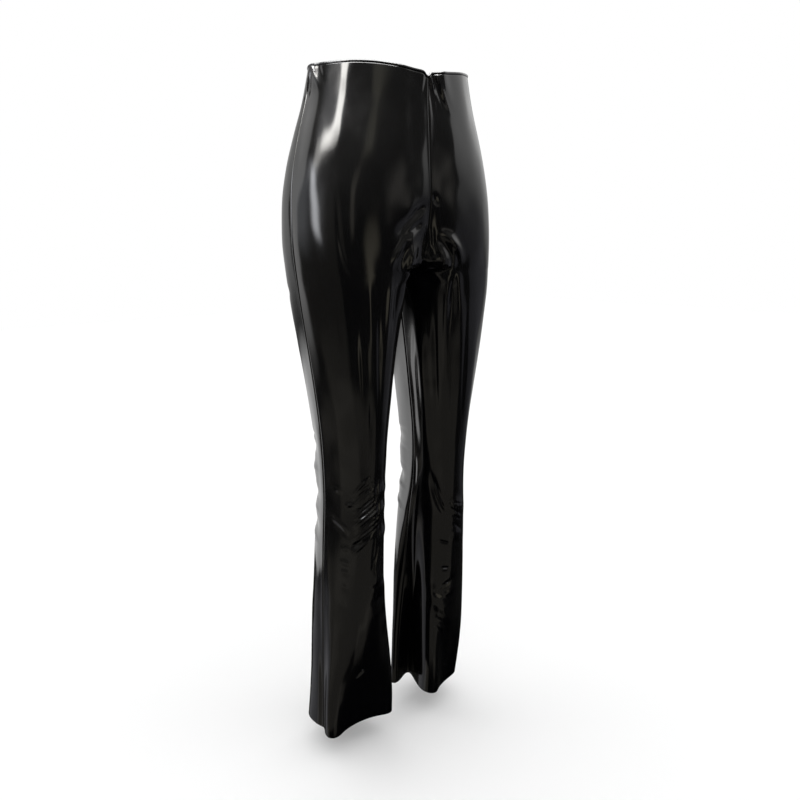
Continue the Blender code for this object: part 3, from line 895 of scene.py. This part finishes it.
def add_waist_roll(cloth, material):
    stations = waist_ring(cloth)
    ring = []
    for k, (point, normal) in enumerate(stations):
        next_point, next_normal = stations[(k + 1) % len(stations)]
        if np.linalg.norm(point - stations[k - 1][0]) < 2 * SEAM_GAP:
            continue
        if np.linalg.norm(point - next_point) < 2 * SEAM_GAP:
            point = (point + next_point) / 2
            normal = normal + next_normal
        ring.append((point, normal / np.linalg.norm(normal)))
    points = []
    for k, (point, normal) in enumerate(ring):
        sway = sum(
            size * math.sin(rate * k + start + drift * math.sin(drift_rate * k))
            for size, rate, start, drift, drift_rate in ROLL_WAVES
        )
        for side in range(ROLL_SIDES):
            angle = 2 * math.pi * (side + 0.5) / ROLL_SIDES
            out = (ROLL_WIDE / 2 + sway / 2) * math.cos(angle)
            up = (ROLL_TALL / 2) * math.sin(angle)
            points.append(point + out * normal + np.array([0, 0, up]))
    faces = []
    for i in range(len(ring)):
        here, there = i * ROLL_SIDES, (i + 1) % len(ring) * ROLL_SIDES
        for k in range(ROLL_SIDES):
            side = (k + 1) % ROLL_SIDES
            faces.append((here + k, there + k, there + side, here + side))
    return new_piece("waist_edge", points, faces, material)


# ---- seam threads

OVERLOCK_COLUMN = 8  # from each seam, near the cut edge of the allowance
OVERLOCK = {
    "Spacing": 3.0 * MM,  # between stitches
    "Length": 4.2 * MM,  # across the cut edge
    "Thread": 0.22 * MM,  # radius
    "Lean": 0.35,
    "Seed": 8,
}
OVERLOCK_SIZES = (0.8, 1.1)  # of the stitches
THREAD_SIDES = 5


def spun_thread(name):
    """Spun polyester sewing thread: two plies, which turn once in 0.9 mm, so its soft sheen is
    broken by fine bands. These are painted in its colour: painted sheen on each ply and painted
    shade between them."""
    finish = {"Roughness": 0.55, "Sheen Weight": 0.2, "Sheen Roughness": 0.4}
    # Of the two colours, the darker is painted shade between the plies and the lighter painted
    # sheen on them
    return yarn_with_painted_sheen(name, 0.9 * MM, 1.0, "#19191b", "#38383c", finish)


def overlock_tree(material):
    """Slanting stitches and an edge thread along each path; "out" is the way off the cloth."""
    tree = bpy.data.node_groups.new("Overlock along a path", "GeometryNodeTree")
    new_socket = tree.interface.new_socket
    for way in ("INPUT", "OUTPUT"):
        new_socket(name="Geometry", in_out=way, socket_type="NodeSocketGeometry")
    sockets = {}
    for name, value in OVERLOCK.items():
        kind = "NodeSocketInt" if isinstance(value, int) else "NodeSocketFloat"
        sockets[name] = new_socket(name=name, in_out="INPUT", socket_type=kind).identifier
    given = add_node(tree, "NodeGroupInput").outputs
    curve = add_node(tree, "GeometryNodeMeshToCurve", links={"Mesh": given["Geometry"]})
    even = add_node(
        tree,
        "GeometryNodeResampleCurve",
        {"mode": "LENGTH"},
        links={"Curve": curve, "Length": given["Spacing"]},
    )
    along = add_node(tree, "GeometryNodeInputTangent")
    off = add_node(
        tree, "GeometryNodeInputNamedAttribute", {"data_type": "FLOAT_VECTOR"}, {"Name": "out"}
    )
    align = "FunctionNodeAlignRotationToVector"
    aimed = add_node(tree, align, {"axis": "X"}, links={"Vector": along})
    turned = add_node(
        tree,
        align,
        {"axis": "Z", "pivot_axis": "X"},
        links={"Rotation": aimed, "Vector": off.outputs["Attribute"]},
    )
    bar = add_node(
        tree,
        "GeometryNodeMeshCylinder",
        values={"Vertices": THREAD_SIDES},
        links={"Radius": given["Thread"], "Depth": given["Length"]},
    )
    slant = add_node(
        tree, "ShaderNodeCombineXYZ", values={"X": math.pi / 2}, links={"Z": given["Lean"]}
    )
    laid = add_node(tree, "FunctionNodeEulerToRotation", links={"Euler": slant})
    stitch = add_node(tree, "GeometryNodeTransform", links={"Geometry": bar, "Rotation": laid})
    uneven = add_node(
        tree,
        "FunctionNodeRandomValue",
        {"data_type": "FLOAT_VECTOR"},
        {"Min": [OVERLOCK_SIZES[0]] * 3, "Max": [OVERLOCK_SIZES[1]] * 3},
        {"Seed": given["Seed"]},
    )
    stitches = add_node(
        tree,
        "GeometryNodeInstanceOnPoints",
        links={"Points": even, "Instance": stitch, "Rotation": turned, "Scale": uneven},
    )
    ring = add_node(
        tree,
        "GeometryNodeCurvePrimitiveCircle",
        values={"Resolution": THREAD_SIDES},
        links={"Radius": given["Thread"]},
    )
    edge = add_node(tree, "GeometryNodeCurveToMesh", links={"Curve": even, "Profile Curve": ring})
    joined = add_node(tree, "GeometryNodeJoinGeometry", links={"Geometry": stitches})
    tree.links.new(edge.outputs["Mesh"], joined.inputs["Geometry"])
    real = add_node(tree, "GeometryNodeRealizeInstances", links={"Geometry": joined})
    end = add_node(tree, "GeometryNodeSetMaterial", (), {"Material": material}, {"Geometry": real})
    add_node(tree, "NodeGroupOutput", links={"Geometry": end})
    return tree, sockets


def add_overlock(cloth):
    """Overlock stitches over the cut edges of the seam allowances, inside the trousers."""
    places, ways, edges = [], [], []
    for points, normals, thick, last in cloth.values():
        ends = (0, last, last + 1, points.shape[1] - 1)
        for end, step in zip(ends, (1, -1, 1, -1)):
            column = end + step * OVERLOCK_COLUMN
            inward = -normals[1:-1, column]
            start = len(places)
            lifted = thick[1:-1, column, None] + OVERLOCK["Thread"]
            places.extend(points[1:-1, column] + lifted * inward)
            ways.extend(inward)
            edges.extend((k, k + 1) for k in range(start, len(places) - 1))
    mesh = bpy.data.meshes.new("seam_overlock")
    mesh.from_pydata([tuple(p) for p in places], edges, [])
    out = mesh.attributes.new("out", "FLOAT_VECTOR", "POINT")
    out.data.foreach_set("vector", np.array(ways).ravel())
    piece = bpy.data.objects.new("seam_overlock", mesh)
    bpy.context.scene.collection.objects.link(piece)
    tree, sockets = overlock_tree(spun_thread("Black spun polyester thread"))
    modifier = piece.modifiers.new("Overlock", "NODES")
    modifier.node_group = tree
    for name, value in OVERLOCK.items():
        modifier[sockets[name]] = value
    view = piece.evaluated_get(bpy.context.evaluated_depsgraph_get())
    plain = bpy.data.meshes.new_from_object(view)
    piece.modifiers.clear()
    piece.data = plain
    plain.shade_smooth()
    return piece


# ---- studio

# The camera's place against the trousers, as fitted to the photo's outline
CAMERA_TURN = math.radians(38.3)  # round to the wearer's right of straight ahead
CAMERA_AWAY = 1.349
CAMERA_HEIGHT = -0.252
CAMERA_SIDE = -0.0065
CAMERA_PITCH = math.radians(11.1)  # down
CAMERA_ROLL = math.radians(0.85)
CAMERA_LENS = 37.0  # mm, on a sensor 36 mm wide

AHEAD = np.array([math.sin(CAMERA_TURN), math.cos(CAMERA_TURN), 0])  # away from the camera
RIGHT = np.array([math.cos(CAMERA_TURN), -math.sin(CAMERA_TURN), 0])


def add_camera():
    up_tilt = math.sin(CAMERA_PITCH) * AHEAD + np.array([0, 0, math.cos(CAMERA_PITCH)])
    forward = math.cos(CAMERA_PITCH) * AHEAD - np.array([0, 0, math.sin(CAMERA_PITCH)])
    right = math.cos(CAMERA_ROLL) * RIGHT - math.sin(CAMERA_ROLL) * up_tilt
    up = math.sin(CAMERA_ROLL) * RIGHT + math.cos(CAMERA_ROLL) * up_tilt
    place = -CAMERA_AWAY * AHEAD - CAMERA_SIDE * RIGHT
    data = bpy.data.cameras.new("camera")
    data.lens = CAMERA_LENS
    data.clip_start = 0.01
    camera = bpy.data.objects.new("camera", data)
    columns = Matrix([list(right), list(up), list(-forward)]).transposed().to_4x4()
    columns.translation = (place[0], place[1], CAMERA_HEIGHT)
    camera.matrix_world = columns
    bpy.context.scene.collection.objects.link(camera)
    bpy.context.scene.camera = camera


# Soft boxes and screens round the trousers, which only the gloss of the cloth sees. "start" and
# "end" are ways from the camera round to its left, in degrees, "lean" is how far a screen's top is
# turned on from its bottom, "away" the distance from the trousers' axis, and "low" and "high" the
# heights of its ends. The light goes from "glow" at the start to "last_glow" at the end, and fades
# out over shares of the width and the height: "sides", "foot" and "top".
Screen = namedtuple(
    "Screen", "name start end lean away low high glow last_glow sides foot top colour"
)
SCREENS = (
    ("key", 29, 53, 0, 1.15, 0.42, 0.86, 13, 13, 0.25, 0.35, 0.3, "#fffdf8"),
    ("key_turn", 44, 64, -4, 1.15, 0.24, 0.6, 3.2, 3.2, 0.4, 0.3, 0.3, "#fffdf8"),
    ("key_halo", 20, 74, -8, 1.15, 0.38, 0.95, 1.1, 1.1, 0.45, 0.4, 0.4, "#f8faff"),
    ("key_foot", 38, 80, 0, 1.15, 0.1, 0.42, 1.2, 1.4, 0.45, 0.45, 0.4, "#f8faff"),
    ("key_line", 36, 58, 12, 1.15, -0.3, 0.36, 5.2, 5.2, 0.45, 0.25, 0.25, "#f8faff"),
    ("key_low", 30, 62, 0, 1.15, -0.36, 0.3, 0.35, 0.45, 0.35, 0.5, 0.3, "#f8faff"),
    ("rim", -62, 84, 0, 1, 0.74, 1.6, 20, 20, 0.12, 0.12, 0.1, "#ffffff"),
    ("side", 82, 116, -9, 1.15, -0.92, 1.2, 0.9, 1.25, 0.22, 0.2, 0.1, "#fafafa"),
    ("side_near", 54, 94, 0, 1.15, -0.45, 0.4, 0.6, 0.6, 0.45, 0.35, 0.35, "#f4f8ff"),
    ("left_rear", 104, 176, 0, 1.15, -1.2, -0.6, 1.35, 0.4, 0.08, 0.08, 0.25, "#ffffff"),
    ("left_high", 114, 176, 0, 1.15, -0.7, 1.2, 0.4, 0.3, 0.1, 0.2, 0.1, "#ffffff"),
    ("right_rear", -176, -126, 0, 1.15, -1, 1.2, 0.45, 0.15, 0.2, 0.1, 0.1, "#ffffff"),
    ("right_high", -152, -81, 0, 1.15, -0.3, 1.2, 0.75, 0.75, 0.04, 0.35, 0.1, "#fafafa"),
    ("front_left", 12, 106, 0, 2.2, -1.4, 0.4, 0.06, 0.06, 0.06, 0.2, 0.35, "#fff8e8"),
    ("arc", -9, 1, -5, 2.2, -0.34, 0.66, 0.3, 0.3, 0.35, 0.3, 0.35, "#fff8e8"),
    ("arc_top", -34, -6, 0, 2.2, 0.56, 1.12, 0.26, 0.26, 0.3, 0.45, 0.4, "#f8f2dc"),
    ("patch", -82, -48, 0, 2.2, -0.2, 0.3, 0.26, 0.26, 0.4, 0.4, 0.4, "#f8f2e8"),
    ("front_right", -45, -23, 0, 2.2, -1.4, 0, 0.45, 0.4, 0.4, 0.24, 0.3, "#fff6dc"),
    ("front_low", -57, 98, 0, 2.2, -2.44, -1.3, 0.13, 0.13, 0.04, 0.06, 0.22, "#fff8e8"),
    ("front_knee", 12, 74, 0, 2.2, -1.8, -1.02, 0.08, 0.1, 0.2, 0.4, 0.3, "#fff8e8"),
    ("left_low", 84, 140, 0, 2.2, -3.2, -1.5, 0.15, 0.22, 0.12, 0.2, 0.15, "#f8f8ff"),
    ("front_foot", 60, 106, 0, 2.2, -3.3, -2.3, 0.12, 0.12, 0.08, 0.2, 0.12, "#fff8e8"),
    ("foot_right", -64, -12, 0, 2.2, -2.9, -2.26, 0.13, 0.13, 0.2, 0.4, 0.2, "#fff8e8"),
    ("right", -135, -76, 0, 2.2, -1.6, 0.1, 0.12, 0.1, 0.15, 0.2, 0.3, "#f2f2ff"),
    ("belly", -40, -2, -8, 2.2, 0.42, 1.1, 0.1, 0.1, 0.4, 0.4, 0.4, "#f4f0d8"),
    ("knee_line", 14, 56, 0, 2.2, -0.3, 0.9, 0.06, 0.12, 0.3, 0.3, 0.5, "#fffdf8"),
)
SCREEN_STEPS = 12


def screen_light(screen):
    material, tree = new_material("Soft box, " + screen.name)
    place = add_node(tree, "ShaderNodeUVMap", {"uv_map": "spread"})
    parts = add_node(tree, "ShaderNodeSeparateXYZ", links={"Vector": place}).outputs
    across, up = parts["X"], parts["Y"]
    fold = add_node(tree, "ShaderNodeMath", {"operation": "PINGPONG"}, {1: 0.5}, {0: across})
    glows = {"To Min": screen.glow, "To Max": screen.last_glow}
    light = add_node(tree, "ShaderNodeMapRange", (), glows, {"Value": across})
    fades = ((fold, 0, screen.sides), (up, 0, screen.foot), (up, 1, 1 - screen.top))
    for source, dark, bright in fades:
        fade = add_node(
            tree,
            "ShaderNodeMapRange",
            {"interpolation_type": "SMOOTHSTEP"},
            {"From Min": dark, "From Max": bright},
            {"Value": source},
        )
        both = {0: light, 1: fade}
        light = add_node(tree, "ShaderNodeMath", {"operation": "MULTIPLY"}, links=both)
    colour = {"Color": linear(screen.colour)}
    glow = add_node(tree, "ShaderNodeEmission", (), colour, {"Strength": light})
    # Clear but for its light, so that its faded sides let what is behind it show
    clear = add_node(tree, "ShaderNodeBsdfTransparent")
    both = add_node(tree, "ShaderNodeAddShader", links={0: glow, 1: clear})
    add_node(tree, "ShaderNodeOutputMaterial", links={"Surface": both})
    return material


def toward(turn):
    """The level direction that is so many degrees round from the camera to its left."""
    angle = math.radians(turn)
    return -math.cos(angle) * AHEAD - math.sin(angle) * RIGHT


def add_screen(screen):
    points, spread_uv = [], []
    for row, height in enumerate((screen.low, screen.high)):
        for k in range(SCREEN_STEPS + 1):
            share = k / SCREEN_STEPS
            turn = screen.start + (screen.end - screen.start) * share + screen.lean * row
            points.append(screen.away * toward(turn) + np.array([0, 0, height]))
            spread_uv.append((share, row))
    upper = SCREEN_STEPS + 1
    faces = [(k, k + 1, upper + k + 1, upper + k) for k in range(SCREEN_STEPS)]
    piece = new_piece("soft_box_" + screen.name, points, faces, screen_light(screen))
    layer = piece.data.uv_layers.new(name="spread")
    for loop in piece.data.loops:
        layer.data[loop.index].uv = spread_uv[loop.vertex_index]
    only_in_gloss(piece)


def only_in_gloss(piece):
    piece.visible_camera = False
    piece.visible_diffuse = False
    piece.visible_shadow = False


OVERHEAD_HIGH = 1.35
OVERHEAD_HALF = 0.9
OVERHEAD_GLOW = 9.0


def level_square(name, half, height, material):
    corners = [(x * half, y * half, height) for x, y in ((-1, -1), (1, -1), (1, 1), (-1, 1))]
    return new_piece(name, corners, [(0, 1, 2, 3)], material)


def add_overhead():
    """A flat soft box over the trousers, for the turned edge and whatever faces up."""
    material, tree = new_material("Soft box, overhead")
    light = {"Color": WHITE, "Strength": OVERHEAD_GLOW}
    glow = add_node(tree, "ShaderNodeEmission", (), light)
    add_node(tree, "ShaderNodeOutputMaterial", links={"Surface": glow})
    only_in_gloss(level_square("soft_box_overhead", OVERHEAD_HALF, OVERHEAD_HIGH, material))


FLOOR_DROP = 0.045  # the hems hang clear of the floor
FLOOR_HALF = 8.0
FLOOR_LIGHT = 1.15  # makes the floor as white as what is behind it


def add_floor():
    material, tree = new_material("Pale studio floor")
    finish = {"Base Color": linear("#f7f7f7"), "Roughness": 1.0, "Specular IOR Level": 0.0}
    surface = add_node(tree, "ShaderNodeBsdfPrincipled", (), finish)
    add_node(tree, "ShaderNodeOutputMaterial", links={"Surface": surface})
    floor = level_square("floor", FLOOR_HALF, HEM - FLOOR_DROP, material)
    floor.visible_glossy = False


# How light the rest of the studio is in the gloss, by the sine of the height above the horizon
STUDIO_DIM = ((-0.62, 0), (-0.50, 0.015), (-0.10, 0.02), (0.05, 0.035), (0.45, 0.15), (0.75, 0.4))
STUDIO_TINT = (1, 0.98, 0.92)


def add_world():
    """A white surround, which the gloss of the cloth sees as a dim studio."""
    world = bpy.data.worlds.new("studio")
    bpy.context.scene.world = world
    world.use_nodes = True
    tree = world.node_tree
    tree.nodes.clear()
    rays = add_node(tree, "ShaderNodeLightPath").outputs
    place = add_node(tree, "ShaderNodeTexCoord").outputs["Generated"]
    height = add_node(tree, "ShaderNodeSeparateXYZ", links={"Vector": place}).outputs["Z"]
    sines = {"From Min": -1.0, "From Max": 1.0}
    rise = add_node(tree, "ShaderNodeMapRange", (), sines, {"Value": height})
    ramp = add_node(tree, "ShaderNodeValToRGB", links={"Fac": rise})
    stops = ramp.color_ramp.elements
    while len(stops) < len(STUDIO_DIM):
        stops.new(1.0)
    for stop, (sine, light) in zip(stops, STUDIO_DIM):
        stop.position = (sine + 1) / 2
        stop.color = [light * part for part in STUDIO_TINT] + [1]
    background = "ShaderNodeBackground"
    dim = add_node(tree, background, links={"Color": ramp})
    plain = add_node(tree, background, values={"Color": WHITE})
    light = add_node(tree, background, values={"Color": WHITE, "Strength": FLOOR_LIGHT})
    mix = "ShaderNodeMixShader"
    seen = add_node(tree, mix, links={0: rays["Is Camera Ray"], 1: light, 2: plain})
    whole = add_node(tree, mix, links={0: rays["Is Glossy Ray"], 1: seen, 2: dim})
    add_node(tree, "ShaderNodeOutputWorld", links={"Surface": whole})


# ---- the trousers


def main():
    leather = {
        half: patent_leather(f"Black patent polyurethane, {half} panels", "#030304")
        for half in ("front", "back")
    }
    edge = patent_leather("Black patent polyurethane, turned edge", "#040405")
    inside = knit_backing("Black tricot backing")
    cloth = {leg: leg_cloth(leg) for leg in ("right", "left")}
    for leg, (points, normals, thick, last) in cloth.items():
        for half, columns in (("front", slice(0, last + 1)), ("back", slice(last + 1, None))):
            piece = cloth_panel(
                f"cloth_{half}_{leg}",
                points[:, columns],
                normals[:, columns],
                thick[:, columns],
                leg == "right",
                leather[half],
                inside,
            )
            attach(piece, "root")
            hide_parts(f"{half}_{leg}")
    roll = add_waist_roll(cloth, edge)
    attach(roll, "root")
    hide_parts("waist_roll")
    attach(add_overlock(cloth), "root")


main()
add_camera()
for screen in SCREENS:
    add_screen(Screen(*screen))
add_overhead()
add_floor()
add_world()
bpy.context.scene.view_settings.view_transform = "Standard"
